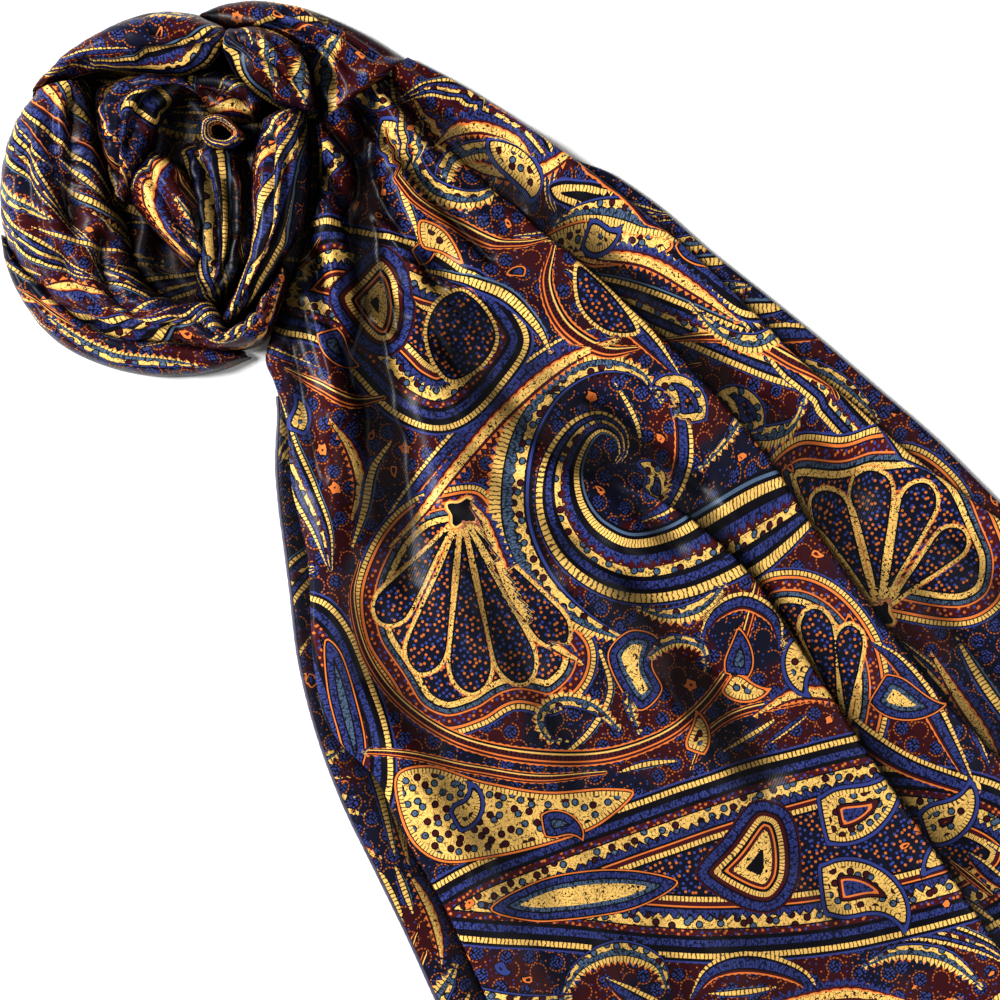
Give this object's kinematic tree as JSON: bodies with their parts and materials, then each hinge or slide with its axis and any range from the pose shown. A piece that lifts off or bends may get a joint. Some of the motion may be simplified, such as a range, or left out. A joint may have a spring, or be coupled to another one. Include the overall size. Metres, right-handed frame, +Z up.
{
  "type": "long scarf",
  "caption": "Long printed silk-like scarf with its gathered end wound into a rosette and the rest laid out flat in soft pleats to a hemmed end.",
  "frame": {"origin": "middle of the underside of the laid scarf, on the surface it lies on", "axes": "+X along the scarf's length, from the wound rosette to the free end; +Y across it; +Z up, through the layers"},
  "size_m": [0.6836, 0.4454, 0.0384],
  "materials": {
    "main_panel": "soft sheen printed silk twill",
    "right_underlayer": "soft sheen printed silk twill",
    "left_underlayer": "soft sheen printed silk twill",
    "free_end_hem": "rolled and stitched silk hem",
    "outer_coil": "soft sheen printed silk twill",
    "coil_underlayer": "soft sheen printed silk twill",
    "top_strand": "soft sheen printed silk twill",
    "neck_strand": "soft sheen printed silk twill",
    "neck_back": "soft sheen printed silk twill",
    "right_strand": "soft sheen printed silk twill",
    "middle_coil": "soft sheen printed silk twill",
    "inner_fold": "soft sheen printed silk twill",
    "inner_coil": "soft sheen printed silk twill",
    "core_roll": "soft sheen printed silk twill",
    "inner_loop": "soft sheen printed silk twill"
  },
  "bodies": {
    "root": {"main_panel": "main_panel", "right_underlayer": "right_underlayer", "left_underlayer": "left_underlayer", "free_end_hem": "free_end_hem", "outer_coil": "outer_coil", "coil_underlayer": "coil_underlayer", "top_strand": "top_strand", "neck_strand": "neck_strand", "neck_back": "neck_back", "right_strand": "right_strand", "middle_coil": "middle_coil", "inner_fold": "inner_fold", "inner_coil": "inner_coil", "core_roll": "core_roll", "inner_loop": "inner_loop"}
  },
  "joints": []
}
